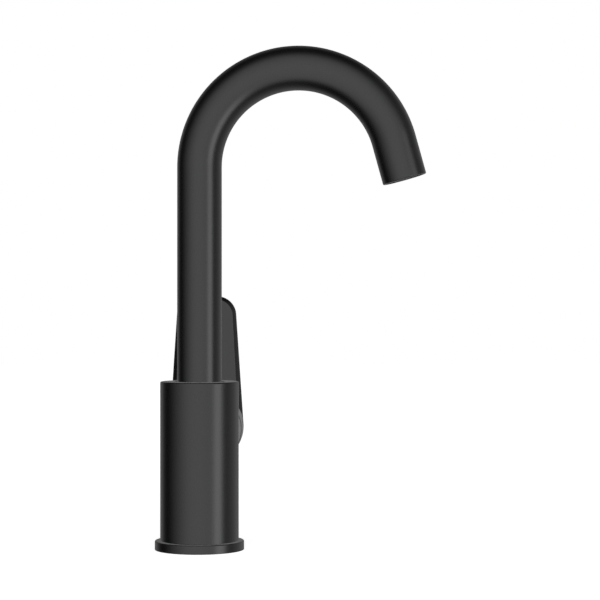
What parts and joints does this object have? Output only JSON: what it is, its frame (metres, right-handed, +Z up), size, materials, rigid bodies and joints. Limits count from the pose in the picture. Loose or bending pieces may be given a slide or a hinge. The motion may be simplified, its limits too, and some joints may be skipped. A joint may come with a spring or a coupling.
{
  "type": "basin mixer tap",
  "caption": "Upright basin mixer tap with a swivelling gooseneck spout, a round base ring and a side lever that tilts for flow and turns for temperature.",
  "frame": {"origin": "centre of the base ring's underside, on the deck", "axes": "+Z up along the upright, +X the way the spout points at rest, +Y the way the side lever's boss points"},
  "size_m": [0.152, 0.091, 0.282],
  "materials": {
    "satin_black": "satin black coating",
    "black_plastic": "moulded",
    "grey_plastic": "moulded",
    "red_plastic": "moulded",
    "ceramic_disc": "lapped",
    "seal_rubber": "moulded",
    "raw_brass": "turned",
    "plain_steel": "turned"
  },
  "bodies": {
    "base": {"base_ring": "satin_black", "base_gasket": "seal_rubber", "body": "satin_black", "slip_ring": "black_plastic", "thrust_washer": "black_plastic", "spout_stop_screw": "plain_steel", "cartridge_foot": "grey_plastic", "port_seals": "seal_rubber", "fixed_disc": "ceramic_disc", "cartridge_housing": "black_plastic", "cartridge_nut": "raw_brass", "trim_dome": "satin_black"},
    "spout": {"spout_tube": "satin_black", "spout_nipple": "raw_brass", "spout_seals": "seal_rubber", "nipple_guide_ring": "black_plastic", "outlet_bush": "satin_black", "aerator_shell": "black_plastic", "aerator_core": "grey_plastic", "aerator_grid": "black_plastic", "aerator_washer": "seal_rubber"},
    "rotor": {"cartridge_rotor": "grey_plastic", "spindle_pin": "plain_steel", "hot_limit_ring": "red_plastic"},
    "lever": {"handle": "satin_black", "lever_spindle": "plain_steel", "handle_screw": "plain_steel", "screw_plug": "black_plastic"},
    "mixing_disc": {"disc_carrier": "black_plastic", "sliding_disc": "ceramic_disc"}
  },
  "joints": [
    {"name": "spout_swivel", "type": "hinge", "parent": "base", "child": "spout", "pos_m": [0, 0, 0.0838], "axis": [0, 0, 1], "range_deg": [-60, 60]},
    {"name": "lever_turn", "type": "hinge", "parent": "base", "child": "rotor", "pos_m": [0, 0.03594, 0.0648], "axis": [0, 1, 0], "range_deg": [-45, 45]},
    {"name": "lever_tilt", "type": "hinge", "parent": "rotor", "child": "lever", "pos_m": [0, 0.03594, 0.0648], "axis": [-1, 0, 0], "range_deg": [0, 18]},
    {"name": "disc_slide", "type": "slide", "parent": "rotor", "child": "mixing_disc", "axis": [0, 0, 1], "range_m": [0, 0.00315]}
  ],
  "couplings": [
    {"joint": "disc_slide", "follows": "lever_tilt", "m_per_rad": 0.01}
  ]
}
